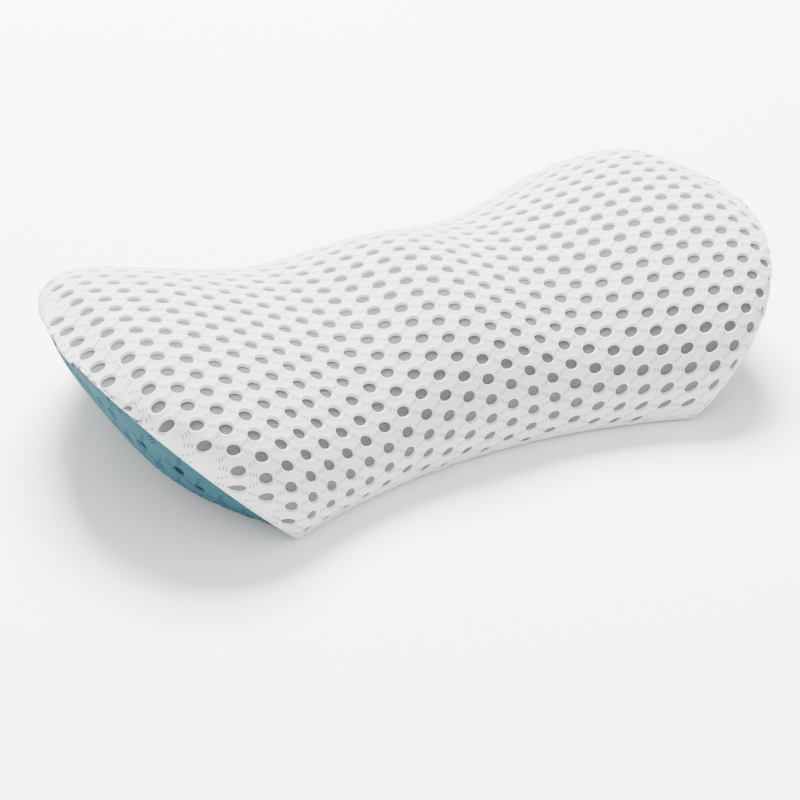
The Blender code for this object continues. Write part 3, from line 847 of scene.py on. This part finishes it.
class CUSHION_OT_zip(bpy.types.Operator):
    """Zip: woven tapes, toothed coils, end stops, slider and pull tab"""
    bl_idname = "cushion.zip"
    bl_label = "Zip"

    def execute(self, context):
        s, colours = context.scene.cushion_shape, context.scene.cushion_colours
        tape = tape_finish("Zip tape", shade(colours.white, 0.95))
        coil = thread_finish("Nylon coil", shade(colours.white, 0.9))
        metal = metal_finish("Plated zinc", tuple(colours.metal))
        radius = waist_radius(s)
        centre_y = s.waist_half + radius
        widest = WIDEST_SHARE * float(crown_height(s, np.array(0.0), 0.0))
        climb = ZIP_MIDDLE_Z / widest
        standing = s.side_bulge * (1 - (1 - climb) ** 2)
        lean = math.atan(2 * s.side_bulge / widest * (1 - climb))

        def on_wall(angle, up, out):
            """Point on the zip's long side, up along the wall and out from it."""
            r = radius - standing - out * math.cos(lean) - up * math.sin(lean)
            return np.array([r * math.sin(angle), centre_y - r * math.cos(angle),
                             ZIP_MIDDLE_Z + up * math.cos(lean) - out * math.sin(lean)])

        first = math.asin((ZIP_FROM_X + COIL_END) / radius)
        last = math.asin((ZIP_TO_X - COIL_END) / radius)
        count = int((last - first) * radius / COIL_PITCH)
        for name, sign in (("lower", -1), ("upper", 1)):
            places = []
            for i in range(count):
                angle = first + (last - first) * (i + 0.25 + 0.5 * (sign > 0)) / count
                out = on_wall(angle, 0, 1 * MM) - on_wall(angle, 0, 0)
                places.append((on_wall(angle, sign * TOOTH_FROM, -COIL_DEPTH),
                               on_wall(angle, sign * TOOTH_TO, -COIL_DEPTH), out))
            teeth = capsule_set("zip_teeth_" + name, places, COIL_THREAD)
            give(teeth, coil)
            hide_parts("zip_coil_" + name)
            give(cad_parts["zip_tape_" + name], tape)
        for node in ("zip_stop_closed", "zip_stop_open", "zip_slider", "zip_pull_tab"):
            give(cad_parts[node], metal)
        for node in ("zip_slider", "zip_pull_tab"):
            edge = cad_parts[node].modifiers.new("Rounded edges", "BEVEL")
            edge.width = 0.15 * MM
            edge.segments = 2
            edge.limit_method = "ANGLE"
        return {"FINISHED"}


class CUSHION_OT_core(bpy.types.Operator):
    """Foam core and the knitted liner round it"""
    bl_idname = "cushion.core"
    bl_label = "Foam core and liner"

    def execute(self, context):
        s, colours = context.scene.cushion_shape, context.scene.cushion_colours
        foam = self.closed_form(s, "foam_block", FOAM_INSET, FOAM_FLOOR)
        give(foam, foam_finish("Slow-rebound foam", tuple(colours.foam)))
        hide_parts("foam_core")
        liner = self.closed_form(s, "liner_bag", LINER_INSET, LINER_FLOOR)
        give(liner, knit_backing("Liner knit", shade(colours.white, 0.9)))
        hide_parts("liner_front", "liner_back")
        return {"FINISHED"}

    def closed_form(self, s, name, inset, floor, columns=91, around=72, under=10):
        """Closed loft inside the cover, with a flat underside."""
        xs = loft_columns(s, inset, columns)
        v = np.linspace(0, 1, around)
        points = []
        for x in xs:
            top = section(s, np.full_like(v, x), v, inset, floor)
            share = np.linspace(0, 1, under + 2)[1:-1, None]
            points += [*top, *(top[-1] * (1 - share) + top[0] * share)]
        ring = around + under
        faces = [(i * ring + j, (i + 1) * ring + j,
                  (i + 1) * ring + (j + 1) % ring, i * ring + (j + 1) % ring)
                 for i in range(columns - 1) for j in range(ring)]
        faces.append(tuple(range(ring)))
        faces.append(tuple(reversed(range((columns - 1) * ring, columns * ring))))
        obj = new_mesh_object(name, points, faces)
        paint_weave(obj.data, np.array(points)[:, :2] / KNIT_UNIT)
        return obj


class CUSHION_OT_stage(bpy.types.Operator):
    """Camera, pale floor and soft studio light"""
    bl_idname = "cushion.stage"
    bl_label = "Stage"

    def execute(self, context):
        scene, g = context.scene, context.scene.cushion_stage
        cos_a, sin_a = math.cos(g.azimuth), math.sin(g.azimuth)
        cos_e, sin_e = math.cos(g.elevation), math.sin(g.elevation)
        right = Vector((cos_a, -sin_a, 0))
        up = Vector((sin_a * sin_e, cos_a * sin_e, cos_e))
        back = Vector((-sin_a * cos_e, -cos_a * cos_e, sin_e))
        cos_r, sin_r = math.cos(g.roll), math.sin(g.roll)
        right, up = right * cos_r + up * sin_r, up * cos_r - right * sin_r
        data = bpy.data.cameras.new("camera")
        data.lens, data.sensor_width = g.lens, 36.0
        data.clip_start, data.clip_end = 0.01, 50.0
        camera = bpy.data.objects.new("camera", data)
        scene.collection.objects.link(camera)
        camera.matrix_world = (Matrix.Translation(Vector(g.target) + back * g.distance)
                               @ Matrix((right, up, back)).transposed().to_4x4())
        scene.camera = camera
        floor = self.floor(scene)
        world = bpy.data.worlds.new("surround")
        world.use_nodes = True
        world.node_tree.nodes["Background"].inputs[0].default_value = (1, 1, 1, 1)
        world.node_tree.nodes["Background"].inputs[1].default_value = g.sky
        scene.world = world
        self.area("key", KEY_PLACE, KEY_SIZE, g.key_power)
        self.area("fill", FILL_PLACE, FILL_SIZE, g.fill_power)
        return {"FINISHED"}

    def floor(self, scene):
        """Plain pale floor."""
        mesh = bpy.data.meshes.new("floor")
        mesh.from_pydata([(-6, -6, 0), (6, -6, 0), (6, 6, 0), (-6, 6, 0)], [], [(0, 1, 2, 3)])
        obj = bpy.data.objects.new("floor", mesh)
        scene.collection.objects.link(obj)
        f = Finish("Pale floor", 0.9, specular=0.1)
        f.colour(f.mix(f.noise(3.0), (0.96, 0.96, 0.96), (0.98, 0.98, 0.98)))
        give(obj, f.mat)
        return obj

    def area(self, name, place, size, power):
        """Soft light that faces the cushion."""
        data = bpy.data.lights.new(name, "AREA")
        data.size, data.energy = size, power
        light = bpy.data.objects.new(name, data)
        bpy.context.scene.collection.objects.link(light)
        light.location = place
        light.rotation_euler = (-place).to_track_quat("-Z", "Y").to_euler()


class CUSHION_PT_panel(bpy.types.Panel):
    """Lists the cushion's settings and builders"""
    bl_label = "Cushion"
    bl_idname = "CUSHION_PT_panel"
    bl_space_type = "VIEW_3D"
    bl_region_type = "UI"
    bl_category = "Cushion"

    def draw(self, context):
        for group in GROUPS:
            settings = getattr(context.scene, group)
            box = self.layout.box()
            for key in settings.__class__.__annotations__:
                box.prop(settings, key)
        for operator in BUILD_ORDER:
            self.layout.operator(operator.bl_idname)


GROUPS = {"cushion_shape": CushionShape, "cushion_mesh": CushionMesh,
          "cushion_colours": CushionColours, "cushion_stage": CushionStage}
BUILD_ORDER = (CUSHION_OT_front, CUSHION_OT_back, CUSHION_OT_seams, CUSHION_OT_zip, CUSHION_OT_core,
               CUSHION_OT_stage)
CLASSES = (*GROUPS.values(), *BUILD_ORDER, CUSHION_PT_panel)


def register():
    for cls in CLASSES:
        bpy.utils.register_class(cls)
    for name, group in GROUPS.items():
        setattr(bpy.types.Scene, name, PointerProperty(type=group))


def unregister():
    for name in GROUPS:
        delattr(bpy.types.Scene, name)
    for cls in reversed(CLASSES):
        bpy.utils.unregister_class(cls)


def main():
    register()
    bpy.ops.cushion.front()
    bpy.ops.cushion.back()
    bpy.ops.cushion.seams()
    bpy.ops.cushion.zip()
    bpy.ops.cushion.core()
    bpy.ops.cushion.stage()
    bpy.context.view_layer.update()


if __name__ == "__main__":
    main()
